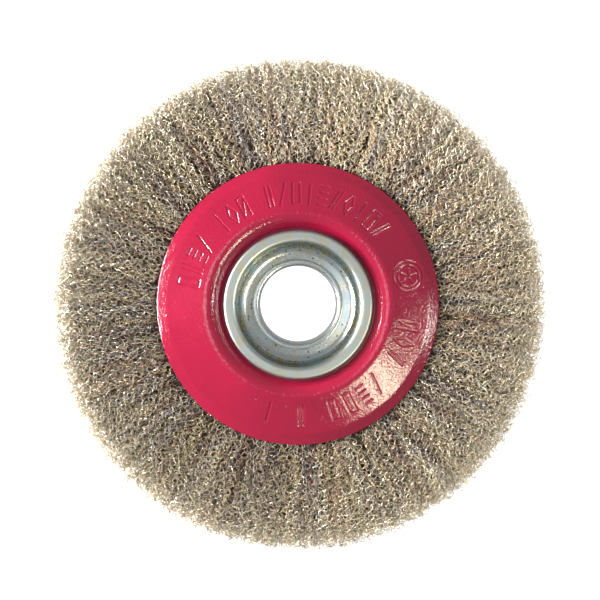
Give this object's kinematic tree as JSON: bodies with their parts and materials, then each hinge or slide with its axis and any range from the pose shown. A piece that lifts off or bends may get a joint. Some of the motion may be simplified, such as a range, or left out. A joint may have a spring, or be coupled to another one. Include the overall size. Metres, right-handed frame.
{
  "type": "crimped wire wheel brush",
  "caption": "Round crimped wire brush with dished side plates and a plated hub, clamped on a bench grinder's spindle to clean and deburr metal.",
  "frame": {"origin": "centre of the wheel, on the bore's axis and midway between the two clamping faces", "axes": "+Z along the bore axis, out of the front face; X and Y lie in the plane of the wheel, which lies flat on its back"},
  "size_m": [0.2, 0.2, 0.025],
  "materials": {
    "red_paint": "gloss",
    "zinc_plate": "satin zinc plate, passivated",
    "plain_steel": "mill",
    "brassed_wire": "crimped wire with a thin brass coat"
  },
  "bodies": {
    "root": {"front_side_plate": "red_paint", "rear_side_plate": "red_paint", "front_hub_flange": "zinc_plate", "rear_hub_flange": "zinc_plate", "front_hub_cup": "zinc_plate", "rear_hub_cup": "zinc_plate", "arbor_sleeve": "zinc_plate", "core_drum": "plain_steel", "row_1_channel_ring": "plain_steel", "row_1_keeper_wire": "plain_steel", "row_2_channel_ring": "plain_steel", "row_2_keeper_wire": "plain_steel", "row_3_channel_ring": "plain_steel", "row_3_keeper_wire": "plain_steel", "row_4_channel_ring": "plain_steel", "row_4_keeper_wire": "plain_steel", "row_1_filaments": "brassed_wire", "row_2_filaments": "brassed_wire", "row_3_filaments": "brassed_wire", "row_4_filaments": "brassed_wire"}
  },
  "joints": []
}
